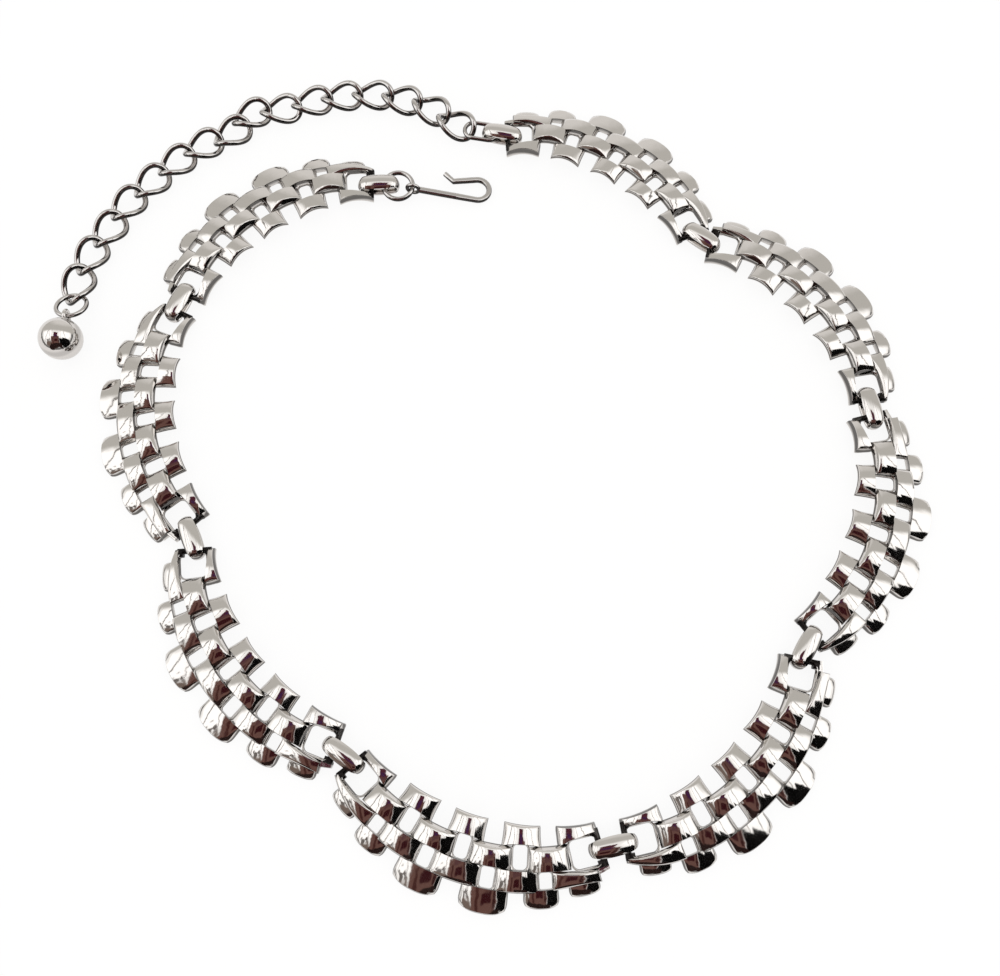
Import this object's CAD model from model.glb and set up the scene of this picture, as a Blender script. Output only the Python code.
# Link necklace in polished silver plate, lying open on a pale table
import math
from functools import partial

import bmesh
import bpy
from bpy.props import FloatProperty, FloatVectorProperty, PointerProperty
from mathutils import Matrix, Vector
from mathutils.bvhtree import BVHTree


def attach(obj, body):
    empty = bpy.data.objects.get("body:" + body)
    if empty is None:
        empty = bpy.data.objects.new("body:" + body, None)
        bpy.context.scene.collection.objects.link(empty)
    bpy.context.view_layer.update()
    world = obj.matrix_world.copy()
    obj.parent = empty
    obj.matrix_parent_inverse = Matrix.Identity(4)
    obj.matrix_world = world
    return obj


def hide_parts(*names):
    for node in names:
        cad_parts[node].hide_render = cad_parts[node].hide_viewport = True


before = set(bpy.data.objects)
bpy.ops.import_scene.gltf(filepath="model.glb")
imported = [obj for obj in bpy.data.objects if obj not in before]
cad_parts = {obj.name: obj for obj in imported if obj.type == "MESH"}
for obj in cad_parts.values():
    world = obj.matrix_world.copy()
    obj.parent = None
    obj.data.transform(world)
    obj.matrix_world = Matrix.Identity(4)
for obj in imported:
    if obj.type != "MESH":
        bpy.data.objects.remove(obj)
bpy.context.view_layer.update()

bl_info = {
    "name": "Silver Link Necklace",
    "version": (1, 0, 0),
    "blender": (4, 5, 0),
    "location": "3D View > Sidebar > Necklace",
    "description": "Builds a collar of cast openwork plates with its extension chain and hook",
    "category": "Object",
}

MM = 0.001
UP = Vector((0, 0, 1))

# Middle of the necklace's outline, which is the part's origin; the tables below are about (0, 0)
MIDDLE = Vector((-3.9, 8.5, 0.0))

# Where each plate's arc has its centre, and the way its crown points
PLATES = (
    # x, y, heading
    (3.2, 35.6, 58.3),
    (29.5, 13.6, 39.5),
    (30.1, 4.6, -20.0),
    (14.1, -21.0, -47.0),
    (5.0, -23.0, -107.5),
    (-15.6, -8.0, -141.5),
    (-26.4, 18.3, -171.5),
    (-23.8, 25.1, 125.5),
)

# The tiles of a plate. Angles run from the plate's middle, and an edge is given at each end
# of the tile, and at its middle where it bends. Radii are counted from the arc's inner radius,
# crown is how much the arch rises, and swell how much the outer side bulges, all in mm.
# Half is 1 for the clockwise half of a plate, -1 for the other, 0 for both; the first two
# tiles stand in the middle.
TILES = (
    # row, half, angles, crown, swell, edges
    # an edge is: inner r, outer r, inner top, outer top, inner foot, outer foot
    ("inner", 0, (-5.0, 5.0), 1.1, 0.0,
     ((0.0, 3.7, 2.55, 2.5, 2.0, 2.0), (0.0, 3.7, 2.55, 2.5, 2.0, 2.0))),
    ("third", 0, (-5.65, 5.65), 1.0, 0.0,
     ((6.8, 10.3, 2.4, 1.6, 1.7, 1.0), (6.8, 10.3, 2.4, 1.6, 1.7, 1.0))),
    ("inner", 0, (9.4, 19.9), 1.1, 0.0,
     ((0.0, 3.7, 2.55, 2.5, 2.0, 2.0), (0.4, 3.7, 2.5, 2.45, 1.9, 1.9))),
    ("end", 1, (23.8, 35.2), 0.9, 0.0,
     ((0.9, 3.7, 2.7, 2.7, 1.6, 1.6), (1.7, 2.9, 1.6, 1.6, 0.3, 0.9))),
    ("end", -1, (23.8, 35.2), 0.9, 0.0,
     ((0.6, 3.8, 2.7, 2.7, 1.6, 1.6), (1.3, 2.9, 1.6, 1.6, 0.3, 0.9))),
    ("second", 0, (1.8, 12.6), 1.15, 0.0,
     ((3.4, 7.0, 2.75, 2.4, 1.9, 1.5), (3.4, 7.0, 2.75, 2.4, 1.9, 1.5))),
    ("second", 0, (16.3, 26.7), 1.1, 0.0,
     ((3.4, 7.3, 2.7, 2.3, 1.9, 1.5), (3.4, 7.3, 2.6, 2.2, 1.5, 1.2))),
    ("third", 0, (8.9, 18.9), 1.0, 0.0,
     ((6.8, 10.3, 2.3, 1.6, 1.7, 1.0), (6.8, 10.2, 2.3, 1.5, 1.6, 0.9))),
    ("arm", 1, (21.9, 35.0), 0.15, 0.0,
     ((7.0, 9.9, 2.3, 1.7, 1.4, 0.9), (7.5, 9.5, 2.7, 2.1, 1.5, 1.0),
      (7.3, 8.3, 1.9, 1.6, 0.4, 0.4))),
    ("arm", -1, (21.9, 32.7), 0.15, 0.0,
     ((7.0, 9.9, 2.3, 1.7, 1.4, 0.9), (7.5, 9.7, 2.7, 2.1, 1.5, 1.0),
      (7.8, 9.9, 2.4, 1.8, 0.6, 0.5))),
    ("lug", -1, (32.0, 35.2), 0.0, 0.0,
     ((7.8, 8.9, 1.9, 1.9, 0.6, 0.6), (7.5, 8.5, 1.9, 1.9, 0.6, 0.6))),
    ("tab", 0, (2.1, 12.3), 0.6, 0.8,
     ((10.0, 13.1, 1.5, 0.5, 0.7, 0.0), (10.0, 13.1, 1.5, 0.5, 0.7, 0.0))),
    ("tab", 0, (15.5, 23.1), 0.5, 0.5,
     ((9.7, 12.1, 1.45, 0.5, 0.5, 0.0), (9.6, 12.1, 1.4, 0.5, 0.4, 0.0))),
    ("tab", 1, (25.3, 32.3), 0.3, 0.3,
     ((9.1, 10.8, 1.4, 0.5, 0.3, 0.0), (8.8, 10.5, 1.3, 0.5, 0.2, 0.0))),
    ("tab", -1, (25.3, 32.2), 0.3, 0.3,
     ((9.3, 11.2, 1.4, 0.5, 0.3, 0.0), (9.2, 11.1, 1.3, 0.5, 0.2, 0.0))),
)
HALF_TILE = 1.8        # from a tile's inner side to its middle, for its length

# How a row's tiles are shaped, in mm: widths of the cut rim at the corners and at the middle
# of the side, the share of the arch that the underside follows, the upright lip below the cut,
# how much the top is domed across, how far the ends, the inner and the outer side bow in, and
# how far the corners are rounded off; a tab's inner corners stay square
RIMS = {
    # row: ends, inner side, outer side, hollow, lip, dome, end bow, inner bow, outer bow, corner
    "inner": ((0.22, 0.5), (0.2, 0.38), (0.1, 0.16), 0.9, 0.18, 0.06, 0.1, 0.04, 0.5, 0.06),
    "end": ((0.3, 0.6), (0.2, 0.4), (0.12, 0.2), 0.8, 0.18, 0.08, 0.06, 0.06, 0.4, 0.2),
    "second": ((0.16, 0.42), (0.14, 0.8), (0.12, 0.2), 0.6, 0.25, 0.17, 0.1, 0.0, 0.1, 0.1),
    "third": ((0.16, 0.4), (0.12, 0.2), (0.14, 0.3), 0.6, 0.2, 0.14, 0.1, 0.0, 0.0, 0.1),
    "arm": ((0.16, 0.3), (0.3, 0.55), (0.14, 0.25), 0.6, 0.7, 0.1, 0.0, 0.0, 0.0, 0.0),
    "lug": ((0.1, 0.12), (0.1, 0.12), (0.1, 0.12), 0.3, 0.2, 0.02, 0.0, 0.0, 0.0, 0.1),
    "tab": ((0.2, 0.36), (0.1, 0.1), (0.14, 0.2), 0.3, 0.1, 0.12, 0.0, 0.0, 0.0, 0.35),
}
RIM_SHARE = 0.08       # a cut's share of the tile, for finding where along a side a point is
# The cut's own section, from the lip to the top: a straight slope that rolls over
RIM_SECTION = (
    # share of width, share of height
    (0.0, 0.0),
    (0.2, 0.42),
    (0.62, 0.8),
    (0.78, 0.905),
    (0.89, 0.97),
)
BULGE_FULLNESS = 3     # how far towards its corners a side keeps its bow
CORNER_SHARPNESS = 6   # how close to its corners a tile's rounding stays, and a tab's
TAB_SHARPNESS = 3
STEPS_ALONG = 12       # divisions of the top along a tile
STEPS_ACROSS = 6
CORNER_STEPS = 8       # divisions of a round corner

# The rim of each window, on both halves of a plate where the angle isn't 0
WINDOWS = (
    # angle, half width, inner r, outer r, corner r, inner top, outer top, in mm but for the angle
    (0.0, 1.06, 3.15, 6.8, 0.7, 2.8, 2.3),
    (14.45, 1.08, 3.15, 6.82, 0.7, 2.75, 2.25),
    (7.27, 1.04, 6.95, 10.02, 0.45, 2.3, 1.5),
    (20.4, 0.96, 7.25, 9.8, 0.45, 2.2, 1.45),
    (30.4, 2.14, 3.15, 7.4, 0.9, 2.0, 2.05),
)
# A window rim's section: it rises from the hole to the tiles and drops behind, in mm
WINDOW_SECTION = (
    # out from the window, below the top
    (0.0, 0.48),
    (0.05, 0.34),
    (0.14, 0.18),
    (0.24, 0.05),
    (0.34, 0.0),
    (0.38, 0.62),
    (0.0, 0.62),
)

# The round bars at a plate's ends
BAR_ANGLE = 34.4
BAR_FROM = 2.2
BAR_TO = 7.9
BAR_Z = 1.4
BAR_D = 1.0
BAR_ROUND = 20          # points round it
# Blocks that the bars grow out of, at the end tile and at the arm
BAR_BLOCK = (1.3, 1.2)  # along the arc, high
BAR_BLOCK_R = ((2.5, 2.9), (6.9, 7.8))
BAR_BLOCK_IN = 0.6      # how far they stand in from the bar's middle, in degrees
# Tarnish round the bars, which no buffing wheel reaches: its share, degrees in from the bar's
# middle, and past its end and above its middle in mm
BAR_TARNISH = 1.3
BAR_TARNISH_IN = 1.6
BAR_TARNISH_PAST = 0.1
BAR_TARNISH_OVER = 0.65

# The band links: chain end, the seven between the plates, and hook end
BANDS = (
    # x, y, heading
    (0.4, 72.0, -11),
    (37.6, 49.2, -38),
    (65.3, 15.2, -80),
    (50.1, -26.8, -121),
    (17.5, -57.3, -167),
    (-24.8, -43.8, 144),
    (-52.2, -8.4, 113),
    (-58.5, 35.9, 67),
    (-23.1, 60.7, 3),
)
BAND_TOP = 1.0           # thickness over the slot, below it and at its ends
BAND_FOOT = 0.65
BAND_END = 0.6
BAND_LIFT = 0.15
BAND_CORNER_R = 1.35
BAND_SLOT_R = 0.6
BAND_ARCH = 0.45         # how much the top falls towards its ends
BAND_CROWN = 46          # half the turn of the band's arc across, in degrees
BAND_DOME = (0.55, 0.3)  # how much that arc rises, as a share of the thickness, on top and below
BAND_NARROW = 0.36       # share of its width that it loses at its ends, how late, and at its foot
BAND_NARROW_POWER = 2.2
BAND_FOOT_NARROW = 0.15
BAND_CROWN_STEPS = 6     # divisions of half its arc across, and of its long and short sides
BAND_SIDE_STEPS = (14, 2)
# The band's inner side has its edges eased: share of the half width, share of the thickness
BAND_INSIDE = ((0.98, 0.88), (0.88, 1.0), (-0.88, 1.0), (-0.98, 0.88))

# Links of the extension chain, from the ball to the plates
CURB_LINKS = (
    # x, y, heading
    (-77.7, 39.5, 79),
    (-76.1, 45.4, 70),
    (-73.4, 51.0, 62),
    (-70.5, 56.5, 55),
    (-66.5, 61.3, 51),
    (-62.2, 65.8, 43),
    (-57.4, 69.6, 31),
    (-52.0, 72.4, 41),
    (-48.6, 76.6, 32),
    (-42.9, 77.9, 10),
    (-36.9, 79.7, 15),
    (-31.1, 80.9, 8),
    (-25.0, 81.3, -3),
    (-19.2, 80.3, -15),
    (-13.4, 78.1, -31),
    (-8.5, 74.6, -28),
)
CURB_Z = 1.58
CURB_STEPS = 64
CURB_FULLNESS = 2.2      # 2 is an ellipse, and more is nearer to a rectangle

# Wire link, ball and hook
WIRE_LINK_AT = (-3.6, 72.8, 1.6)
WIRE_LINK_HEADING = -10
WIRE_LINK_L = 7.3
WIRE_LINK_W = 4.3
RING_WIRE = 0.8
RING_STEPS = 72          # along a ring, round its wire, and along the wire link's ends and sides
WIRE_ROUND = 16
OVAL_STEPS = (24, 6)
EYE_STEPS = (48, 14)     # along and round the small eyes
BALL_STEPS = (96, 48)    # all round the ball, and from its top to its bottom
BALL_AT = (-78.3, 27.6)
BALL_RING_AT = (-78.0, 34.9, 2.3)
BALL_RING_D = 6.2
BALL_RING_TILT = 20
BALL_EYE_AT = (-78.2, 32.3, 3.1)
BALL_EYE_D = 2.8
BALL_EYE_WIRE = 0.7
HOOK_RING_AT = (-19.4, 60.6, 1.55)
HOOK_RING_D = 6.4
HOOK_RING_WIRE = 0.9
HOOK_RING_TILT = 5
HOOK_AT = (-16.55, 60.0, 1.55)
HOOK_HEADING = -9
HOOK_DROP = 4
HOOK_EYE_D = 3.0
HOOK_EYE_WIRE = 0.75
HOOK_INTO_EYE = 0.3
HOOK_T = 0.9
HOOK_REACH = 14.3
HOOK_BEND_R = 2.2
HOOK_BEND_TURN = 196
HOOK_RETURN_L = 4.4
HOOK_TIP_L = 2.3
HOOK_TIP_TURN = 51
HOOK_SHANK_W = 1.15
HOOK_BEND_W = 1.05
HOOK_TAPER_L = 2.5
HOOK_TIP_W = 0.9
HOOK_EDGE_R = 0.36
HOOK_STEPS = (12, 32, 6)  # along its shank, its bend, and each straight of its end
HOOK_EDGE_STEPS = 3

TARNISH = "#1F1C1B"
TARNISH_PATCHY = 0.35  # how unevenly it lies, and the roughness that it adds
TARNISH_DULL = 0.25
# Tarnish on steep sides: its share, the upward slope where it begins and is full, and the slope
# of an underside where it has ended and is still full
PLATE_SIDES = (0.82, 0.5, 0.35, 0.03, 0.18)
WIRE_SIDES = (0.96, 0.64, 0.44, -0.5, -0.3)
BALL_SIDES = (0.25, 0.5, 0.34, 0.03, 0.2)

# The platings: colour, closed share of the space above at which tarnish begins and is full, height
# of the slow waves and of the hairlines in mm, extra roughness, and tarnish on steep sides
PLATINGS = {
    # Cast base metal, buffed on a wheel and plated: a bright mirror that wavers slowly
    "bright_silver_plate": ("plate_colour", (1.12, 1.5), 0.03, 0.0004, 0.0, PLATE_SIDES),
    # Half-round band, formed and plated: straighter reflections, with faint lines along the link
    "silver_plated_band": ("plate_colour", (0.7, 1.1), 0.012, 0.0008, 0.0, PLATE_SIDES),
    # Steel wire, twisted to links and plated in bulk: greyer, with dark sides between its glints
    "silver_plated_steel_wire": ("wire_colour", (0.7, 1.1), 0.008, 0.0012, 0.0, WIRE_SIDES),
    # Drawn wire, plated: the most even skin, with glints that run unbroken round a ring
    "silver_plated_drawn_wire": ("wire_colour", (0.7, 1.1), 0.006, 0.0010, 0.0, WIRE_SIDES),
    # Ball polished all round and plated: a clear mirror with hardly any tarnish
    "polished_silver_ball": ("plate_colour", (0.8, 1.3), 0.01, 0.0006, 0.0, BALL_SIDES),
    # Flat strip, brushed along before plating: hairlines that draw its reflections out
    "brushed_silver_plated_strip": ("wire_colour", (0.7, 1.1), 0.006, 0.0030, 0.03, WIRE_SIDES),
}
# Real sizes of the platings' patterns, in mm
WAVE = 2.94            # slow waves left by hand buffing
DIMPLE = 0.91          # dimples that the plating follows, and their share of the waves' height
DIMPLE_DEPTH = 0.15
LINE_LENGTH = 1.25     # hairlines of the last polish
LINE_WIDTH = 0.0694
FILM = 6.25            # clouds in the film of handling
FILM_NOISE = (0.42, 0.72)  # noise at which they begin and are full
FILM_HAZE = 0.06       # roughness that they add
GRAIN_R = 36           # radius at which the hairlines' length is measured along a plate
RECESS_REACH = 1.1     # how far off a wall still closes off a point
RECESS_START = 0.04
RECESS_TILTS = (20, 45, 70)  # ways tried, in degrees off the zenith, and how many all round
RECESS_WAYS = 6
# Angle between faces, in degrees, from which their edge stays sharp
SHARP_CAST = 30
SHARP_FORMED = 40
SHARP_WIRE = 60

# What the polished metal mirrors, as round patches of the room seen from the table, each laid
# over the ones before: the bright room and its windows, the foot, then what stands before them
ROOM_BASE = ("#FFFFFE", 1.15)
ROOM_WINDOWS = (
    # angle off the zenith, azimuth from +X, radius, softness, all in degrees; colour; strength
    (42, 182, 25, 4, "#FFFFFF", 1.5),
    (42, 5, 27, 4, "#FFFFFF", 1.5),
)
ROOM_PATCHES = (
    (90, 90, 71, 6, "#CBC9C4", 1.0),       # grey wall behind
    (84, 90, 26, 14, "#EAE8E5", 1.0),      # its lower part
    (62, -128, 17, 3, "#7D6E66", 1.0),     # light brown wood
    (60, -100, 20, 3, "#4A3A34", 1.0),
    (50, -152, 6, 2, "#77716E", 1.0),
)
# What stands square in the room: places along X and Y of a unit direction
ROOM_BOXES = (
    # from x, to x, from y, to y, colour
    (0.28, 0.82, -0.86, -0.37, "#070606"),     # black, on the right
    (0.52, 0.90, -0.60, -0.26, "#0C0B0B"),
    (-0.42, 0.27, -0.84, -0.195, "#6F5049"),   # red-brown, in the middle, with darker parts
    (-0.60, 0.40, -0.95, -0.74, "#2A1C1A"),
    (-0.21, 0.15, -0.36, -0.14, "#5F4040"),
    (-0.20, 0.13, -0.24, 0.15, "#552A36"),
    (-0.12, 0.06, -0.22, -0.06, "#45264A"),
    (-0.14, 0.13, -0.62, -0.44, "#3A1519"),
    (-0.30, -0.22, -0.74, -0.34, "#4A2A26"),
    (0.18, 0.24, -0.70, -0.30, "#3A1D1C"),
)
BOX_EDGE = 0.012       # softness of their edges
WANDER = 0.1           # how far the edges of all these wander, and how often
WANDER_SCALE = 6.0
# The dark foot of the room, and the heights between which it fades in and out
FOOT = "#2E2A29"
FOOT_SHARE = 0.85
FOOT_RISE = (0.02, 0.07)
FOOT_FALL = (0.2, 0.3)
# Thin bars of the windows, as bands square to a direction; the wall behind hides their far part
ROOM_BARS = (
    # angle off the zenith, azimuth, distance from the middle, half width; colour
    (90, 20, 0.62, 0.012, "#7A7673"),
    (90, 12, 0.36, 0.009, "#8A8683"),
    (90, 160, 0.70, 0.014, "#7A7673"),
    (90, 176, 0.36, 0.009, "#8A8683"),
    (90, 184, 0.54, 0.010, "#8A8683"),
)
BAR_EDGE = (1.5, 0.6)  # where such a bar begins and is full, in half widths off its middle

# The table: half its side in metres, how matt it is, how bright it burns out, and how far that
# shows in the metal
TABLE_HALF = 2.0
TABLE_ROUGHNESS = 0.9
TABLE_BURN_STRENGTH = 1.04
GLOSSY_BURN = 0.55
# The camera: its place in metres, its tip from straight down in degrees, and its lens in mm
CAMERA_AT = (0.0039, -0.05555, 0.15807)
CAMERA_TIP = 16.88
CAMERA_LENS = 34.2
CAMERA_SENSOR = 36
CAMERA_NEAR = 0.005


def srgb(code, strength=1.0):
    """A linear colour from an sRGB hex value, made brighter by a strength."""
    values = [int(code[i:i + 2], 16) / 255 for i in (1, 3, 5)]
    return tuple(strength * (v / 12.92 if v <= 0.04045 else ((v + 0.055) / 1.055) ** 2.4) for v in values)


def mix(a, b, t):
    """From a to b by a share t."""
    return a * (1 - t) + b * t


def hump(t):
    """Rises from 0 at both ends to 1 in the middle."""
    return 4 * t * (1 - t)


def around(r, turn):
    """X and Y at a radius and a turn from +X, in radians."""
    return r * math.cos(turn), r * math.sin(turn)


def direction(angle, azimuth):
    """A unit direction from its angle off the zenith and its azimuth, in degrees."""
    angle = math.radians(angle)
    return (*around(math.sin(angle), math.radians(azimuth)), math.cos(angle))


# Settings

class NecklaceSizes(bpy.types.PropertyGroup):
    """Sizes of the necklace's pieces."""
    inner_r: FloatProperty(
        name="Plate Radius", description="Radius of the arc along a plate's inner edge",
        default=31 * MM, min=30.8 * MM, max=31.2 * MM, unit="LENGTH")
    band_l: FloatProperty(
        name="Band Length", description="Outer length of a band link",
        default=7.9 * MM, min=7.8 * MM, max=8.0 * MM, unit="LENGTH")
    band_w: FloatProperty(
        name="Band Width", description="Width of a band link at its middle",
        default=3.1 * MM, min=2.8 * MM, max=3.2 * MM, unit="LENGTH")
    band_h: FloatProperty(
        name="Band Height", description="Height of a band link",
        default=3.2 * MM, min=3.1 * MM, max=3.3 * MM, unit="LENGTH")
    curb_l: FloatProperty(
        name="Link Length", description="Outer length of a curb link",
        default=8.5 * MM, min=8.4 * MM, max=8.6 * MM, unit="LENGTH")
    curb_w: FloatProperty(
        name="Link Width", description="Outer width of a curb link",
        default=6.4 * MM, min=6.2 * MM, max=6.6 * MM, unit="LENGTH")
    curb_wire: FloatProperty(
        name="Link Wire", description="Wire diameter of a curb link",
        default=1.05 * MM, min=0.8 * MM, max=1.08 * MM, unit="LENGTH")
    curb_twist: FloatProperty(
        name="Link Twist", description="Angle that each end of a curb link is twisted by",
        default=math.radians(45), min=math.radians(40), max=math.radians(48),
        subtype="ANGLE", unit="ROTATION")
    ball_d: FloatProperty(
        name="Ball Diameter", description="Diameter of the ball at the end of the chain",
        default=7.5 * MM, min=7.0 * MM, max=7.8 * MM, unit="LENGTH")


class NecklaceFinish(bpy.types.PropertyGroup):
    """Colours and polish of the plating."""
    plate_colour: FloatVectorProperty(
        name="Plate Silver", description="Colour of the bright plating on the castings",
        default=srgb("#DEDAD6"), size=3, min=0, max=1, subtype="COLOR")
    wire_colour: FloatVectorProperty(
        name="Wire Silver", description="Colour of the plating on chain, rings and hook",
        default=srgb("#CFCBC8"), size=3, min=0, max=1, subtype="COLOR")
    polish: FloatProperty(
        name="Polish Roughness", description="Roughness of the buffed plating",
        default=0.05, min=0.01, max=0.4, subtype="FACTOR")


class NecklaceStudio(bpy.types.PropertyGroup):
    """The table and the room that the metal mirrors."""
    table_colour: FloatVectorProperty(
        name="Table", description="Colour of the pale table top",
        default=srgb("#EFECEA"), size=3, min=0, max=1, subtype="COLOR")
    table_burn: FloatProperty(
        name="Table Burn", description="How far the lens sees the table as burnt out to white",
        default=0.85, min=0, max=1, subtype="FACTOR")
    daylight: FloatProperty(
        name="Daylight", description="Brightness of the room's soft light",
        default=0.95, min=0.1, max=5.0)


# Materials

def add_node(tree, kind, values=()):
    """Adds a node. Values set its attributes and inputs; an output is linked, as is a node's first."""
    node = tree.nodes.new(kind)
    for name, value in dict(values).items():
        if isinstance(value, bpy.types.Node):
            value = value.outputs[0]
        if isinstance(value, bpy.types.NodeSocket):
            tree.links.new(value, node.inputs[name])
        elif hasattr(node, str(name)):
            setattr(node, name, value)
        else:
            node.inputs[name].default_value = value
    return node


MATH, VECTOR_MATH, RANGE = "ShaderNodeMath", "ShaderNodeVectorMath", "ShaderNodeMapRange"
NOISE, BUMP, MIX = "ShaderNodeTexNoise", "ShaderNodeBump", "ShaderNodeMix"
SMOOTH = {"interpolation_type": "SMOOTHSTEP"}


def new_material(name):
    """An empty material and the function that adds a node to it."""
    material = bpy.data.materials.new(name)
    material.use_nodes = True
    material.node_tree.nodes.clear()
    return material, partial(add_node, material.node_tree)


def painted(add, below, colour, share):
    """What is below, with a colour laid over it by a share."""
    return add(MIX, {"data_type": "RGBA", 0: share, 6: below, 7: (*colour, 1)}).outputs[2]


def plating(name, position=None):
    """Silver plating by its row of PLATINGS. Position names an attribute with millimetres in it."""
    colour, (begins, full), ripple, hairline, rougher, sides = PLATINGS[name]
    finish = bpy.context.scene.necklace_finish
    polish = finish.polish + rougher
    material, add = new_material(name)
    if position is None:
        metres = add("ShaderNodeTexCoord").outputs["Object"]
        place = add(VECTOR_MATH, {"operation": "SCALE", 0: metres, "Scale": 1 / MM})
    else:
        place = add("ShaderNodeAttribute", {"attribute_name": position})
    place = place.outputs["Vector"]
    # The waves bend the mirrored edges, and the dimples make them wriggle
    wave = add(NOISE, {"Vector": place, "Scale": 1 / WAVE, "Detail": 1.5, "Roughness": 0.45})
    dimples = add(NOISE, {"Vector": place, "Scale": 1 / DIMPLE, "Detail": 1.0})
    # The hairlines run along the piece
    stretched = add("ShaderNodeMapping", {"Vector": place, "Scale": (LINE_WIDTH / LINE_LENGTH, 1, 1)})
    lines = add(NOISE, {"Vector": stretched, "Scale": 1 / LINE_WIDTH, "Detail": 3.0, "Roughness": 0.6})
    # The film dulls the mirror a little
    film = add(NOISE, {
        "Vector": place, "Scale": 1 / FILM, "Detail": 4.0, "Roughness": 0.65, "Distortion": 0.6})
    haze = add(RANGE, {
        "Value": film, "From Min": FILM_NOISE[0], "From Max": FILM_NOISE[1],
        "To Min": polish, "To Max": polish + FILM_HAZE})
    # Tarnish that buffing leaves in the recesses
    hollow = add("ShaderNodeAttribute", {"attribute_name": "recess"}).outputs["Fac"]
    uneven = add(MATH, {"operation": "MULTIPLY_ADD", 0: film, 1: TARNISH_PATCHY, 2: hollow})
    dark = add(RANGE, {**SMOOTH, "Value": uneven, "From Min": begins, "From Max": full})
    # and on the steep foot of each side, which draws a thin dark line along every edge
    normal = add("ShaderNodeNewGeometry").outputs["Normal"]
    slope = add("ShaderNodeSeparateXYZ", {"Vector": normal}).outputs["Z"]
    steep = add(RANGE, {
        **SMOOTH, "Value": slope, "From Min": sides[1], "From Max": sides[2], "To Max": sides[0]})
    leaning = add(RANGE, {**SMOOTH, "Value": slope, "From Min": sides[3], "From Max": sides[4]})
    line = add(MATH, {"operation": "MULTIPLY", 0: steep, 1: leaning})
    darker = add(MATH, {"operation": "MAXIMUM", 0: dark, 1: line})
    tone = painted(add, (*getattr(finish, colour), 1), srgb(TARNISH), darker)
    dull = add(MATH, {"operation": "MULTIPLY_ADD", 0: dark, 1: TARNISH_DULL, 2: haze})
    waved = add(BUMP, {"Height": wave, "Distance": ripple * MM})
    dimpled = add(BUMP, {"Height": dimples, "Normal": waved, "Distance": ripple * MM * DIMPLE_DEPTH})
    lined = add(BUMP, {"Height": lines, "Normal": dimpled, "Distance": hairline * MM})
    shader = add("ShaderNodeBsdfPrincipled", {
        "Metallic": 1.0, "Base Color": tone, "Roughness": dull, "Normal": lined})
    add("ShaderNodeOutputMaterial", {"Surface": shader})
    return material


def white_board(colour, burn):
    """The table's material: matt white board, overexposed."""
    material, add = new_material("matt_white_board")
    board = add("ShaderNodeBsdfPrincipled", {"Base Color": (*colour, 1), "Roughness": TABLE_ROUGHNESS})
    # The lens sees it burnt out to white, and the metal mirrors it nearly as it is
    burnt = add("ShaderNodeEmission", {"Color": (1, 1, 1, 1), "Strength": TABLE_BURN_STRENGTH})
    path = add("ShaderNodeLightPath").outputs
    seen = add(MATH, {"operation": "MULTIPLY", 0: path["Is Camera Ray"], 1: burn})
    share = add(MATH, {"operation": "MULTIPLY_ADD", 0: path["Is Glossy Ray"], 1: GLOSSY_BURN, 2: seen})
    surface = add("ShaderNodeMixShader", {0: share, 1: board, 2: burnt})
    add("ShaderNodeOutputMaterial", {"Surface": surface})
    return material


# The room

def toward(add, way, angle, azimuth):
    """How far a way of looking goes along a direction."""
    return add(VECTOR_MATH, {
        "operation": "DOT_PRODUCT", 0: way, 1: direction(angle, azimuth)}).outputs["Value"]


def laid(add, room, colour, value, begins, full):
    """The room with a colour laid over it, from where a value begins to where it is full."""
    inside = add(RANGE, {**SMOOTH, "Value": value, "From Min": begins, "From Max": full})
    return painted(add, room, colour, inside)


def room_patches(add, way, room, patches):
    """Lays round patches over the room."""
    for angle, azimuth, radius, softness, colour, strength in patches:
        begins, full = [math.cos(math.radians(edge)) for edge in (radius + softness, radius - softness)]
        room = laid(add, room, srgb(colour, strength), toward(add, way, angle, azimuth), begins, full)
    return room


def room_bars(add, way, room):
    """Lays the thin window bars over the room."""
    for angle, azimuth, distance, half, colour in ROOM_BARS:
        off = add(MATH, {"operation": "SUBTRACT", 0: toward(add, way, angle, azimuth), 1: distance})
        size = add(MATH, {"operation": "ABSOLUTE", 0: off})
        room = laid(add, room, srgb(colour), size, half * BAR_EDGE[0], half * BAR_EDGE[1])
    return room


def room_foot(add, way, room):
    """Darkens the foot of the room, low over the table."""
    height = add("ShaderNodeSeparateXYZ", {0: way}).outputs["Z"]
    rise = add(RANGE, {**SMOOTH, "Value": height, "From Min": FOOT_RISE[0], "From Max": FOOT_RISE[1]})
    fall = add(RANGE, {
        **SMOOTH, "Value": height, "From Min": FOOT_FALL[1], "From Max": FOOT_FALL[0], "To Max": FOOT_SHARE})
    share = add(MATH, {"operation": "MULTIPLY", 0: rise, 1: fall})
    return painted(add, room, srgb(FOOT), share)


def room_boxes(add, way, room):
    """Lays the square patches over the room."""
    for x0, x1, y0, y1, colour in ROOM_BOXES:
        off = add(VECTOR_MATH, {"operation": "SUBTRACT", 0: way, 1: ((x0 + x1) / 2, (y0 + y1) / 2, 0)})
        size = add(VECTOR_MATH, {"operation": "ABSOLUTE", 0: off})
        past = add(VECTOR_MATH, {"operation": "SUBTRACT", 0: size, 1: ((x1 - x0) / 2, (y1 - y0) / 2, 0)})
        out = add("ShaderNodeSeparateXYZ", {0: past}).outputs
        most = add(MATH, {"operation": "MAXIMUM", 0: out["X"], 1: out["Y"]})
        room = laid(add, room, srgb(colour), most, BOX_EDGE, -BOX_EDGE)
    return room


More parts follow.
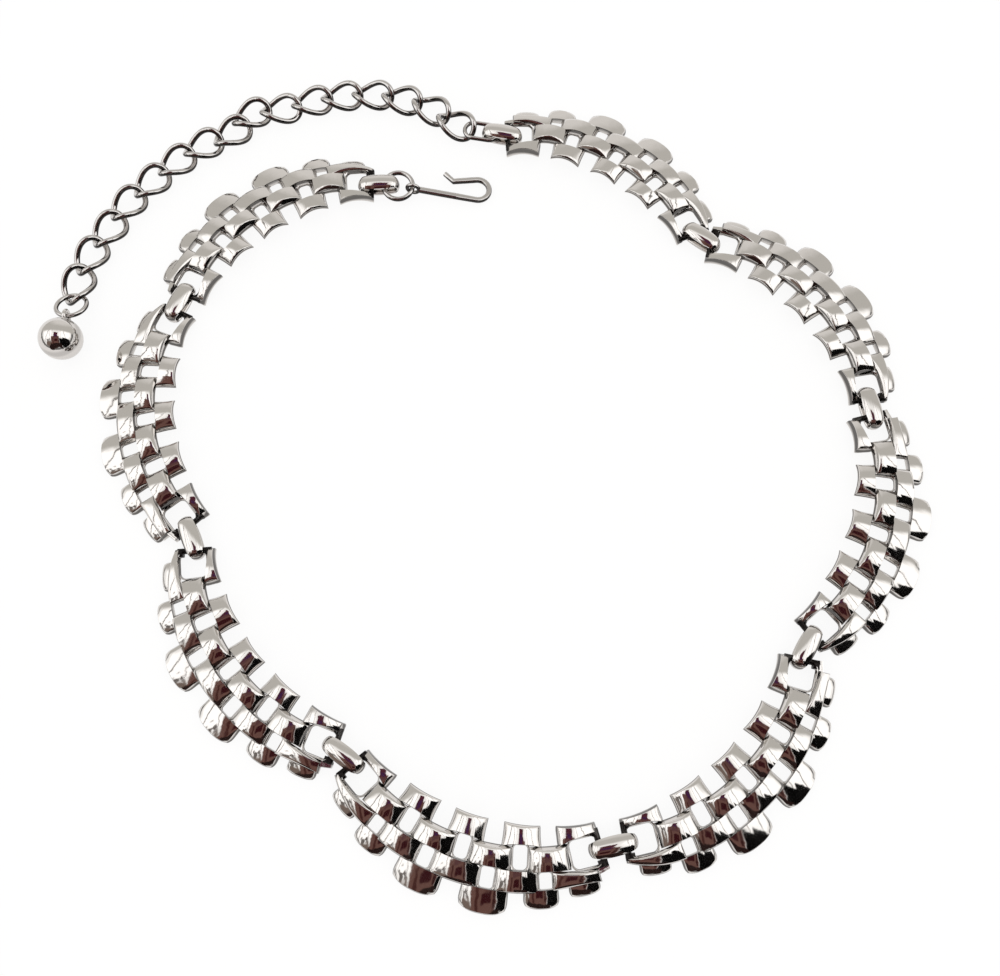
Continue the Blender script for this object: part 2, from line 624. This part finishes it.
def room_nodes(world, daylight):
    """What the metal mirrors, as a room of patches; everything else is lit by a plain bright dome."""
    world.use_nodes = True
    world.node_tree.nodes.clear()
    add = partial(add_node, world.node_tree)
    way = add("ShaderNodeTexCoord").outputs["Generated"]
    # The patches' edges wander a little, as the edges of real things do
    waver = add(NOISE, {"Vector": way, "Scale": WANDER_SCALE, "Detail": 2.0}).outputs["Color"]
    shift = add(VECTOR_MATH, {
        "operation": "MULTIPLY_ADD", 0: waver, 1: (WANDER,) * 3, 2: (-WANDER / 2,) * 3})
    bent = add(VECTOR_MATH, {"operation": "ADD", 0: way, 1: shift})
    room = room_patches(add, bent, (*srgb(*ROOM_BASE), 1), ROOM_WINDOWS)
    room = room_foot(add, bent, room_bars(add, bent, room))
    room = room_boxes(add, bent, room_patches(add, bent, room, ROOM_PATCHES))
    mirrored = add("ShaderNodeBackground", {"Color": room, "Strength": 1.0})
    dome = add("ShaderNodeBackground", {"Color": (1, 1, 1, 1), "Strength": daylight})
    glossy = add("ShaderNodeLightPath").outputs["Is Glossy Ray"]
    both = add("ShaderNodeMixShader", {0: glossy, 1: dome, 2: mirrored})
    add("ShaderNodeOutputWorld", {"Surface": both})


# Meshes and objects

def shell_mesh(name, shell):
    """A mesh from a shell's points and faces."""
    points, faces = shell
    mesh = bpy.data.meshes.new(name)
    mesh.from_pydata([tuple(point) for point in points], [], faces)
    mesh.validate()
    return mesh


def new_object(name, mesh):
    """An object in the scene from a mesh."""
    thing = bpy.data.objects.new(name, mesh)
    bpy.context.scene.collection.objects.link(thing)
    return thing


def drop(thing):
    """Removes a helper object and its mesh."""
    mesh = thing.data
    bpy.data.objects.remove(thing)
    bpy.data.meshes.remove(mesh)


def finish_mesh(mesh, smooth_angle):
    """Shades a mesh smooth except across sharp edges."""
    mesh.shade_smooth()
    mesh.set_sharp_from_angle(angle=math.radians(smooth_angle))


def solid_piece(name, mesh, matrix, material, smooth_angle):
    """A finished object from a mesh in mm, with the matrix's placing in its points."""
    mesh.transform(matrix @ Matrix.Scale(MM, 4))
    finish_mesh(mesh, smooth_angle)
    mesh.materials.clear()
    mesh.materials.append(material)
    return new_object(name, mesh)


def own(piece, nodes):
    """Says what a finished piece stands for."""
    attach(piece, "root")
    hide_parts(*nodes)


def turned(degrees, axis):
    """The matrix of a turn about an axis."""
    return Matrix.Rotation(math.radians(degrees), 4, axis)


def placed(x, y, z, heading):
    """The matrix that puts a shape at a place of the tables, turned about the upright."""
    return Matrix.Translation((Vector((x, y, z)) - MIDDLE) * MM) @ turned(heading, "Z")


def fused(name, shells):
    """One closed mesh from overlapping closed shells."""
    base, *others = [new_object(f"{name}_part", shell_mesh(f"{name}_part", shell)) for shell in shells]
    for part in others:
        union = base.modifiers.new("Fuse", "BOOLEAN")
        union.operation = "UNION"
        union.solver = "MANIFOLD"
        union.object = part
    graph = bpy.context.evaluated_depsgraph_get()
    mesh = bpy.data.meshes.new_from_object(base.evaluated_get(graph))
    mesh.name = name
    # Two faces on the same corners are a flat pocket, which a union can leave where surfaces meet
    shape = bmesh.new()
    shape.from_mesh(mesh)
    groups = {}
    for face in shape.faces:
        groups.setdefault(frozenset(face.verts), []).append(face)
    pockets = [face for group in groups.values() if len(group) > 1 for face in group]
    bmesh.ops.delete(shape, geom=pockets, context="FACES")
    if not all(edge.is_manifold for edge in shape.edges):
        raise RuntimeError(f"{name} isn't closed")
    shape.to_mesh(mesh)
    shape.free()
    for part in (base, *others):
        drop(part)
    return mesh


# Shapes that several pieces share, in mm

def circle(d, count):
    """Points round a circle."""
    return [around(d / 2, 2 * math.pi * k / count) for k in range(count)]


def round_corners(l, w, r, steps):
    """The four corner arcs of a rectangle with round corners, one after another all round."""
    arcs = []
    for corner, (sx, sy) in enumerate(((1, 1), (-1, 1), (-1, -1), (1, -1))):
        arc = [around(r, math.radians(90 * (corner + step / steps))) for step in range(steps + 1)]
        arcs.append([(sx * (l / 2 - r) + x, sy * (w / 2 - r) + y) for x, y in arc])
    return arcs


def flat_section(w, t):
    """A rectangle with eased edges."""
    return sum(round_corners(w, t, HOOK_EDGE_R, HOOK_EDGE_STEPS), [])


def skin(rings, sides, closed=True, inside_out=False):
    """Faces of a wall through rings of as many points that follow each other."""
    faces = []
    for i in range(rings if closed else rings - 1):
        here, there = i * sides, (i + 1) % rings * sides
        for k in range(sides):
            after = (k + 1) % sides
            if inside_out:
                faces.append((here + k, there + k, there + after, here + after))
            else:
                faces.append((here + k, here + after, there + after, there + k))
    return faces


def tube(points, sections, closed=True):
    """A shell along points, with a section square to the way at each; an open one has flat ends."""
    count, sides = len(points), len(sections[0])
    verts = []
    for i, (point, section) in enumerate(zip(points, sections)):
        before, after = (i - 1, (i + 1) % count) if closed else (max(i - 1, 0), min(i + 1, count - 1))
        ahead = (points[after] - points[before]).normalized()
        out = ahead.cross(UP).normalized()
        rise = out.cross(ahead)
        verts += [point + out * a + rise * b for a, b in section]
    faces = skin(count, sides, closed, inside_out=True)
    if not closed:
        faces.append(tuple(range(sides)))
        faces.append(tuple(reversed(range((count - 1) * sides, count * sides))))
    return verts, faces


def moved(shell, matrix):
    """A shell with a matrix's turn and place in its points."""
    points, faces = shell
    return [matrix @ point for point in points], faces


def wire_ring(d, wire, steps=RING_STEPS, sides=WIRE_ROUND):
    """A round ring of wire in the XY plane."""
    return tube([Vector((x, y, 0)) for x, y in circle(d - wire, steps)], [circle(wire, sides)] * steps)


# The plates

def edge_at(edges, u):
    """An edge at a share u of the tile's length, through two or three given edges."""
    if len(edges) == 2:
        return [mix(a, b, u) for a, b in zip(*edges)]
    weights = (2 * (u - 0.5) * (u - 1), -4 * u * (u - 1), 2 * u * (u - 0.5))
    return [sum(w * v for w, v in zip(weights, values)) for values in zip(*edges)]


def rim_width(widths, share):
    """Width of a rim's cut, which is widest at the middle of its side."""
    return mix(widths[0], widths[1], hump(share))


def tile_samples(steps):
    """Along one direction of a tile: which cut a line of points is on, and its shares."""
    return ([("near", share, height) for share, height in RIM_SECTION]
            + [("top", step / steps, 1.0) for step in range(steps + 1)]
            + [("far", share, height) for share, height in reversed(RIM_SECTION)])


def across(zone, share, near_w, far_w):
    """Place of a line of points, from 0 at one side to 1 at the other."""
    if zone == "near":
        return share * near_w
    if zone == "far":
        return 1 - share * far_w
    return mix(near_w, 1 - far_w, share)


def tile_shell(tile, inner_r, side):
    """One closed tile, on the plate's half that side gives."""
    row, _, angles, crown, swell, edges = tile
    ends, inner_side, outer_side, hollow, lip, dome, end_bow, inner_bow, outer_bow, corner = RIMS[row]
    along, over = tile_samples(STEPS_ALONG), tile_samples(STEPS_ACROSS)
    length = math.radians(angles[1] - angles[0]) * (inner_r + edges[0][0] + HALF_TILE)
    tops, feet = [], []
    for zone_u, share_u, height_u in along:
        near_u = across(zone_u, share_u, RIM_SHARE, RIM_SHARE)
        for zone_v, share_v, height_v in over:
            end_w = rim_width(ends, across(zone_v, share_v, RIM_SHARE, RIM_SHARE)) / length
            u = across(zone_u, share_u, end_w, end_w)
            edge = edge_at(edges, u)
            width = edge[1] - edge[0]
            side_w = [rim_width(widths, near_u) / width for widths in (inner_side, outer_side)]
            v = across(zone_v, share_v, *side_w)
            bulge = 1 - abs(2 * u - 1) ** BULGE_FULLNESS
            off = 2 * v - 1
            rounding = corner * (max(0.0, off) ** TAB_SHARPNESS if row == "tab" else off ** CORNER_SHARPNESS)
            dent = (end_bow * hump(v) + rounding) / length
            angle = math.radians(mix(angles[0], angles[1], mix(dent, 1 - dent, u)))
            r = inner_r + edge[0] + inner_bow * bulge + (width + (swell - inner_bow - outer_bow) * bulge) * v
            top = mix(edge[2], edge[3], v) + crown * hump(u) + dome * hump(v)
            foot = mix(edge[4], edge[5], v) + hollow * crown * hump(u)
            x, y = around(r, -side * angle)
            tops.append((x, y, mix(foot + lip, top, min(height_u, height_v))))
            feet.append((x, y, foot))
    rows, columns, under = len(along), len(over), len(tops)
    faces = []
    for i in range(rows - 1):
        for j in range(columns - 1):
            a = i * columns + j
            face = (a, a + 1, a + columns + 1, a + columns)
            faces += [face, tuple(under + point for point in reversed(face))]
    border = ([j for j in range(columns)] + [i * columns + columns - 1 for i in range(1, rows)]
              + [(rows - 1) * columns + j for j in range(columns - 2, -1, -1)]
              + [i * columns for i in range(rows - 2, 0, -1)])
    for here, after in zip(border, border[1:] + border[:1]):
        faces.append((after, here, under + here, under + after))
    if side > 0:
        faces = [tuple(reversed(face)) for face in faces]
    return tops + feet, faces


def window_rim(window, inner_r, side):
    """A closed ring round a window with rounded corners."""
    angle, half, r0, r1, corner_r, top0, top1 = window
    loops = [sum(round_corners(2 * (half + out), r1 - r0 + 2 * out, corner_r + out, CORNER_STEPS), [])
             for out, _ in WINDOW_SECTION]
    points = []
    for ring in zip(*loops):
        for (aside, away), (_, below) in zip(ring, WINDOW_SECTION):
            away += (r0 + r1) / 2
            turn = math.radians(angle) + aside / (inner_r + away)
            z = mix(top0, top1, (away - r0) / (r1 - r0)) - below
            points.append((*around(inner_r + away, -side * turn), z))
    faces = skin(len(loops[0]), len(loops))
    if side < 0:
        faces = [tuple(reversed(face)) for face in faces]
    return points, faces


def bar_shells(inner_r, side):
    """The round bar at one end of a plate and the blocks that it grows out of."""
    shells = []
    rows = [(BAR_ANGLE, (BAR_FROM, BAR_TO), circle(BAR_D, BAR_ROUND))]
    rows += [(BAR_ANGLE - BAR_BLOCK_IN, reach, flat_section(*BAR_BLOCK)) for reach in BAR_BLOCK_R]
    for angle, reach, section in rows:
        angle = math.radians(angle) * side
        radii = [inner_r + r for r in reach]
        ends = [Vector((*around(r, angle), BAR_Z)) for r in radii]
        shells.append(tube(ends, [section] * 2, closed=False))
    return shells


def plate_mesh(inner_r):
    """One plate in its own place, fused from its tiles, window rims and bars, with its attributes."""
    shells = [tile_shell(tile, inner_r, 1) for tile in TILES[:2]]
    for side in (1, -1):
        shells += [tile_shell(tile, inner_r, side) for tile in TILES[2:] if tile[1] in (0, side)]
        shells += [window_rim(window, inner_r, side) for window in WINDOWS if window[0] or side > 0]
    for side in (-1, 1):
        shells += bar_shells(inner_r, side)
    plate = fused("cast_plate", shells)
    add_grain(plate)
    add_recess(plate)
    darken_bars(plate, inner_r)
    return plate


def add_grain(mesh):
    """Stores each point's place along the plate's arc, outwards and up, in mm, for the buffing marks."""
    layer = mesh.attributes.new("grain", "FLOAT_VECTOR", "POINT")
    values = []
    for vertex in mesh.vertices:
        x, y, z = vertex.co
        values += [math.atan2(y, x) * GRAIN_R, math.hypot(x, y), z]
    layer.data.foreach_set("vector", values)


def add_recess(mesh):
    """Stores how much of the space above each point is closed off, for the tarnish."""
    tree = BVHTree.FromPolygons([v.co for v in mesh.vertices], [p.vertices for p in mesh.polygons])
    ways = [Vector(direction(tilt, 360 * k / RECESS_WAYS + tilt))
            for tilt in RECESS_TILTS for k in range(RECESS_WAYS)]
    values = []
    for vertex in mesh.vertices:
        start = vertex.co + vertex.normal * RECESS_START
        closed = sum(1 for way in ways if tree.ray_cast(start, way, RECESS_REACH)[0] is not None)
        values.append(closed / len(ways))
    layer = mesh.attributes.new("recess", "FLOAT", "POINT")
    layer.data.foreach_set("value", values)


def darken_bars(mesh, inner_r):
    """Adds the tarnish round the end bars of a plate in its own place."""
    for vertex, recess in zip(mesh.vertices, mesh.attributes["recess"].data):
        x, y, z = vertex.co
        r = math.hypot(x, y) - inner_r
        near = abs(math.degrees(math.atan2(y, x))) > BAR_ANGLE - BAR_TARNISH_IN
        if near and BAR_FROM < r < BAR_TO + BAR_TARNISH_PAST and z < BAR_Z + BAR_TARNISH_OVER:
            recess.value = BAR_TARNISH


# Band links, wires, ball and hook

def round_loop(l, h, r):
    """Points of a rectangle with round corners, l along x and h along z, all round."""
    arcs = round_corners(l, h, r, CORNER_STEPS)
    points = []
    for corner, arc in enumerate(arcs):
        (x0, z0), (x1, z1) = arc[-1], arcs[(corner + 1) % 4][0]
        steps = BAND_SIDE_STEPS[corner % 2]
        points += arc
        points += [(mix(x0, x1, k / steps), mix(z0, z1, k / steps)) for k in range(1, steps)]
    return points


def band_shell(l, w, h):
    """A half-round band bent into a closed link, standing on z = 0."""
    outer = round_loop(l, h, BAND_CORNER_R)
    slot_h = h - BAND_TOP - BAND_FOOT
    rise = BAND_FOOT + slot_h / 2 - h / 2
    inner = [(x, z + rise) for x, z in round_loop(l - 2 * BAND_END, slot_h, BAND_SLOT_R)]
    crown = math.radians(BAND_CROWN)
    leans = [crown * k / BAND_CROWN_STEPS for k in range(-BAND_CROWN_STEPS, BAND_CROWN_STEPS + 1)]
    verts = []
    for (ox, oz), (ix, iz) in zip(outer, inner):
        share = abs(ox) / (l / 2)
        foot = 1 - min(1.0, max(0.0, (oz + h / 2) / (h / 2)))
        width = w / 2 * (1 - BAND_NARROW * share ** BAND_NARROW_POWER) * (1 - BAND_FOOT_NARROW * foot)
        oz -= BAND_ARCH * share ** 2 * (1 - foot)
        dome = mix(*BAND_DOME, foot)
        section = [(math.sin(lean) / math.sin(crown), dome * (1 - math.cos(lean)) / (1 - math.cos(crown)))
                   for lean in leans]
        section += BAND_INSIDE
        verts += [(mix(ox, ix, deep), width * aside, mix(oz, iz, deep) + h / 2) for aside, deep in section]
    return verts, skin(len(outer), len(section))


def oval_path(l, w):
    """Two straights and two half rings."""
    bend_steps, side_steps = OVAL_STEPS
    points = []
    for side in (1, -1):
        for k in range(bend_steps + 1):
            x, y = around(w / 2, math.pi * (k / bend_steps - 0.5))
            points.append(Vector((side * ((l - w) / 2 + x), side * y, 0)))
        points += [Vector((side * (l - w) / 2 * (1 - 2 * k / side_steps), side * w / 2, 0))
                   for k in range(1, side_steps)]
    return points


def ball_shell(d):
    """A fine sphere."""
    shape = bmesh.new()
    bmesh.ops.create_uvsphere(shape, u_segments=BALL_STEPS[0], v_segments=BALL_STEPS[1], radius=d / 2)
    shape.verts.index_update()
    points = [vertex.co.copy() for vertex in shape.verts]
    faces = [[vertex.index for vertex in face.verts] for face in shape.faces]
    shape.free()
    return points, faces


def hook_shells():
    """The hook's bar and its eye, about the eye's centre with the shank along +X."""
    start, bend_x = HOOK_EYE_D / 2 - HOOK_INTO_EYE, HOOK_REACH - HOOK_BEND_R
    shank_steps, bend_steps, end_steps = HOOK_STEPS
    path, widths = [], []
    for k in range(shank_steps + 1):
        x = mix(start, bend_x, k / shank_steps)
        path.append(Vector((x, 0, 0)))
        widths.append(mix(HOOK_BEND_W, HOOK_SHANK_W, min(1.0, (bend_x - x) / HOOK_TAPER_L)))
    for k in range(1, bend_steps + 1):
        turn = math.radians(-90 + HOOK_BEND_TURN * k / bend_steps)
        path.append(Vector((bend_x + HOOK_BEND_R * math.cos(turn), HOOK_BEND_R * (1 + math.sin(turn)), 0)))
        widths.append(HOOK_BEND_W)
    for heading, length, width in ((HOOK_BEND_TURN, HOOK_RETURN_L, HOOK_BEND_W),
                                   (HOOK_BEND_TURN - HOOK_TIP_TURN, HOOK_TIP_L, HOOK_TIP_W)):
        way = Vector((*around(1, math.radians(heading)), 0))
        base = path[-1]
        for k in range(1, end_steps + 1):
            path.append(base + way * length * k / end_steps)
            widths.append(width)
    bar = tube(path, [flat_section(width, HOOK_T) for width in widths], closed=False)
    return [bar, moved(wire_ring(HOOK_EYE_D, HOOK_EYE_WIRE, *EYE_STEPS), turned(90, "X"))]


# Geometry Nodes

def copies_tree(name, sockets, make_part):
    """A tree that sets a part on each point, turned by the point's heading, as one plain mesh."""
    tree = bpy.data.node_groups.new(name, "GeometryNodeTree")
    inputs = {}
    for title, kind, default in (("Places", "Geometry", None), *sockets, ("Material", "Material", None)):
        socket = tree.interface.new_socket(name=title, in_out="INPUT", socket_type="NodeSocket" + kind)
        if default is not None:
            socket.default_value = default
        inputs[title] = socket.identifier
    tree.interface.new_socket(name="Links", in_out="OUTPUT", socket_type="NodeSocketGeometry")
    add = partial(add_node, tree)
    given = add("NodeGroupInput").outputs
    heading = add("GeometryNodeInputNamedAttribute", {"Name": "heading"})
    upright = add("ShaderNodeCombineXYZ", {"Z": heading})
    turn = add("FunctionNodeEulerToRotation", {"Euler": upright})
    spread = add("GeometryNodeInstanceOnPoints", {
        "Points": given["Places"], "Instance": make_part(add, given), "Rotation": turn})
    plain = add("GeometryNodeRealizeInstances", {"Geometry": spread})
    coated = add("GeometryNodeSetMaterial", {"Geometry": plain, "Material": given["Material"]})
    add("NodeGroupOutput", {0: coated})
    return tree, inputs


BAND_SOCKETS = (("Part", "Object", None),)


def band_part(add, given):
    """The band link that is given as an object."""
    return add("GeometryNodeObjectInfo", {"Object": given["Part"]}).outputs["Geometry"]


CURB_SOCKETS = (("Link Length", "Float", 8.5 * MM), ("Link Width", "Float", 6.4 * MM),
                ("Wire", "Float", 1.0 * MM), ("Twist", "Float", math.radians(45)))


def curb_part(add, given):
    """A curb link: a full oval whose two ends are twisted about its long axis, swept with round wire."""
    ring = add("GeometryNodeCurvePrimitiveCircle", {"Resolution": CURB_STEPS, "Radius": 1.0})
    index = add("GeometryNodeSplineParameter").outputs["Index"]
    step = 2 * math.pi / CURB_STEPS
    angle = add(MATH, {"operation": "MULTIPLY_ADD", 0: index, 1: step, 2: step / 2})
    sides = []
    for wave, size in (("COSINE", "Link Length"), ("SINE", "Link Width")):
        # A wave to the power 2 / fullness with its sign kept fills out the oval
        plain = add(MATH, {"operation": wave, 0: angle})
        bare = add(MATH, {"operation": "ABSOLUTE", 0: plain})
        fuller = add(MATH, {"operation": "POWER", 0: bare, 1: 2 / CURB_FULLNESS})
        sign = add(MATH, {"operation": "SIGN", 0: plain})
        full = add(MATH, {"operation": "MULTIPLY", 0: fuller, 1: sign})
        middle = add(MATH, {"operation": "SUBTRACT", 0: given[size], 1: given["Wire"]})
        half = add(MATH, {"operation": "MULTIPLY", 0: middle, 1: 0.5})
        sides.append((full, add(MATH, {"operation": "MULTIPLY", 0: half, 1: full})))
    (along, x), (_, y) = sides
    flat = add("ShaderNodeCombineXYZ", {"X": x, "Y": y})
    turn = add(MATH, {"operation": "MULTIPLY", 0: given["Twist"], 1: along})
    twisted = add("ShaderNodeVectorRotate", {"rotation_type": "X_AXIS", "Vector": flat, "Angle": turn})
    bent = add("GeometryNodeSetPosition", {"Geometry": ring, "Position": twisted})
    thick = add(MATH, {"operation": "MULTIPLY", 0: given["Wire"], 1: 0.5})
    section = add("GeometryNodeCurvePrimitiveCircle", {"Resolution": WIRE_ROUND, "Radius": thick})
    return add("GeometryNodeCurveToMesh", {"Curve": bent, "Profile Curve": section})


def copies(name, places, z, tree, inputs, values, smooth_angle):
    """Runs a copies tree on a table of places and gives back the plain piece."""
    mesh = bpy.data.meshes.new(name + "_places")
    mesh.from_pydata([tuple((Vector((x, y, z)) - MIDDLE) * MM) for x, y, _ in places], [], [])
    layer = mesh.attributes.new("heading", "FLOAT", "POINT")
    layer.data.foreach_set("value", [math.radians(heading) for _, _, heading in places])
    points = new_object(name + "_places", mesh)
    modifier = points.modifiers.new("Links", "NODES")
    modifier.node_group = tree
    for key, value in values.items():
        modifier[inputs[key]] = value
    graph = bpy.context.evaluated_depsgraph_get()
    result = bpy.data.meshes.new_from_object(points.evaluated_get(graph))
    result.name = name
    drop(points)
    finish_mesh(result, smooth_angle)
    return new_object(name, result)


# Operators

class NECKLACE_OT_plates(bpy.types.Operator):
    """Add the eight cast plates of arched tiles"""
    bl_idname = "necklace.plates"
    bl_label = "Cast Plates"

    def execute(self, context):
        material = plating("bright_silver_plate", "grain")
        plate = plate_mesh(context.scene.necklace_sizes.inner_r / MM)
        for number, (x, y, heading) in enumerate(PLATES, 1):
            matrix = placed(x, y, 0, heading)
            piece = solid_piece(f"cast_plate_{number}", plate.copy(), matrix, material, SHARP_CAST)
            own(piece, [f"casting_{number}"])
        bpy.data.meshes.remove(plate)
        return {"FINISHED"}


class NECKLACE_OT_bands(bpy.types.Operator):
    """Add the nine half-round band links that join the plates, the chain and the hook"""
    bl_idname = "necklace.bands"
    bl_label = "Band Links"

    def execute(self, context):
        sizes = context.scene.necklace_sizes
        material = plating("silver_plated_band")
        mesh = shell_mesh("band_part", band_shell(sizes.band_l / MM, sizes.band_w / MM, sizes.band_h / MM))
        part = solid_piece("band_part", mesh, Matrix.Identity(4), material, SHARP_FORMED)
        tree, inputs = copies_tree("band_copies", BAND_SOCKETS, band_part)
        values = {"Part": part, "Material": material}
        piece = copies("band_links", BANDS, BAND_LIFT, tree, inputs, values, SHARP_FORMED)
        drop(part)
        own(piece, [f"connector_{end}" for end in ("chain", "hook", *range(1, 8))])
        return {"FINISHED"}


class NECKLACE_OT_chain(bpy.types.Operator):
    """Add the extension chain of twisted curb links"""
    bl_idname = "necklace.chain"
    bl_label = "Curb Chain"

    def execute(self, context):
        sizes = context.scene.necklace_sizes
        material = plating("silver_plated_steel_wire")
        tree, inputs = copies_tree("curb_chain", CURB_SOCKETS, curb_part)
        values = {"Link Length": sizes.curb_l, "Link Width": sizes.curb_w, "Wire": sizes.curb_wire,
                  "Twist": sizes.curb_twist, "Material": material}
        piece = copies("curb_chain", CURB_LINKS, CURB_Z, tree, inputs, values, SHARP_WIRE)
        own(piece, [f"curb_link_{i:02d}" for i in range(1, 17)])
        return {"FINISHED"}


class NECKLACE_OT_rings(bpy.types.Operator):
    """Add the wire link and the two jump rings"""
    bl_idname = "necklace.rings"
    bl_label = "Wire Link and Rings"

    def execute(self, context):
        material = plating("silver_plated_drawn_wire")
        path = oval_path(WIRE_LINK_L - RING_WIRE, WIRE_LINK_W - RING_WIRE)
        oval = tube(path, [circle(RING_WIRE, WIRE_ROUND)] * len(path))
        rows = (
            # node, shell, place, heading, tilt
            ("wire_link", oval, WIRE_LINK_AT, WIRE_LINK_HEADING, 0),
            ("ball_ring", wire_ring(BALL_RING_D, RING_WIRE), BALL_RING_AT, 0, -BALL_RING_TILT),
            ("hook_ring", wire_ring(HOOK_RING_D, HOOK_RING_WIRE), HOOK_RING_AT, 0, HOOK_RING_TILT),
        )
        for node, shell, at, heading, tilt in rows:
            matrix = placed(*at, heading) @ turned(tilt, "X")
            mesh = shell_mesh(node + "_wire", shell)
            piece = solid_piece(node + "_wire", mesh, matrix, material, SHARP_WIRE)
            own(piece, [node])
        return {"FINISHED"}


class NECKLACE_OT_ball(bpy.types.Operator):
    """Add the ball with its eye"""
    bl_idname = "necklace.ball"
    bl_label = "End Ball"

    def execute(self, context):
        material = plating("polished_silver_ball")
        ball_d = context.scene.necklace_sizes.ball_d / MM
        ball = moved(ball_shell(ball_d), Matrix.Translation((*BALL_AT, ball_d / 2)))
        eye = moved(wire_ring(BALL_EYE_D, BALL_EYE_WIRE, *EYE_STEPS),
                    Matrix.Translation(BALL_EYE_AT) @ turned(90, "Y"))
        mesh = fused("end_ball_shell", [ball, eye])
        piece = solid_piece("end_ball_shell", mesh, placed(0, 0, 0, 0), material, SHARP_FORMED)
        own(piece, ["end_ball"])
        return {"FINISHED"}


class NECKLACE_OT_hook(bpy.types.Operator):
    """Add the flat J hook with its eye"""
    bl_idname = "necklace.hook"
    bl_label = "Hook"

    def execute(self, context):
        material = plating("brushed_silver_plated_strip")
        matrix = placed(*HOOK_AT, HOOK_HEADING) @ turned(HOOK_DROP, "Y")
        piece = solid_piece("hook_bar", fused("hook_bar", hook_shells()), matrix, material, SHARP_CAST)
        own(piece, ["hook"])
        return {"FINISHED"}


class NECKLACE_OT_stage(bpy.types.Operator):
    """Add the table, the daylight and the camera"""
    bl_idname = "necklace.stage"
    bl_label = "Table and Camera"

    def execute(self, context):
        studio = context.scene.necklace_studio
        corners = [(x * TABLE_HALF, y * TABLE_HALF, 0) for x, y in ((-1, -1), (1, -1), (1, 1), (-1, 1))]
        table = new_object("table_top", shell_mesh("table_top", (corners, [(0, 1, 2, 3)])))
        table.data.materials.append(white_board(studio.table_colour, studio.table_burn))
        world = bpy.data.worlds.new("daylit_room")
        room_nodes(world, studio.daylight)
        context.scene.world = world
        context.scene.view_settings.view_transform = "Standard"
        data = bpy.data.cameras.new("camera")
        data.sensor_width = CAMERA_SENSOR
        data.lens = CAMERA_LENS
        data.clip_start = CAMERA_NEAR
        camera = bpy.data.objects.new("camera", data)
        camera.location = CAMERA_AT
        camera.rotation_euler = (math.radians(CAMERA_TIP), 0, 0)
        context.scene.collection.objects.link(camera)
        context.scene.camera = camera
        return {"FINISHED"}


class NECKLACE_PT_panel(bpy.types.Panel):
    """Lists the necklace's steps and settings"""
    bl_idname = "NECKLACE_PT_panel"
    bl_label = "Link Necklace"
    bl_space_type = "VIEW_3D"
    bl_region_type = "UI"
    bl_category = "Necklace"

    def draw(self, context):
        for step in STEPS:
            self.layout.operator(step.bl_idname)
        for group in GROUPS:
            settings = getattr(context.scene, group)
            box = self.layout.box()
            for name in settings.bl_rna.properties.keys():
                if name not in ("rna_type", "name"):
                    box.prop(settings, name)


STEPS = (NECKLACE_OT_stage, NECKLACE_OT_plates, NECKLACE_OT_bands, NECKLACE_OT_chain,
         NECKLACE_OT_rings, NECKLACE_OT_ball, NECKLACE_OT_hook)
GROUPS = {"necklace_sizes": NecklaceSizes, "necklace_finish": NecklaceFinish,
          "necklace_studio": NecklaceStudio}
CLASSES = (*GROUPS.values(), *STEPS, NECKLACE_PT_panel)


def register():
    """Adds the settings, operators and panel."""
    for item in CLASSES:
        bpy.utils.register_class(item)
    for name, group in GROUPS.items():
        setattr(bpy.types.Scene, name, PointerProperty(type=group))


def unregister():
    """Takes them away again."""
    for name in GROUPS:
        delattr(bpy.types.Scene, name)
    for item in reversed(CLASSES):
        bpy.utils.unregister_class(item)


def main():
    """Builds the necklace on its table."""
    register()
    bpy.ops.necklace.stage()
    bpy.ops.necklace.plates()
    bpy.ops.necklace.bands()
    bpy.ops.necklace.chain()
    bpy.ops.necklace.rings()
    bpy.ops.necklace.ball()
    bpy.ops.necklace.hook()


if __name__ == "__main__":
    main()
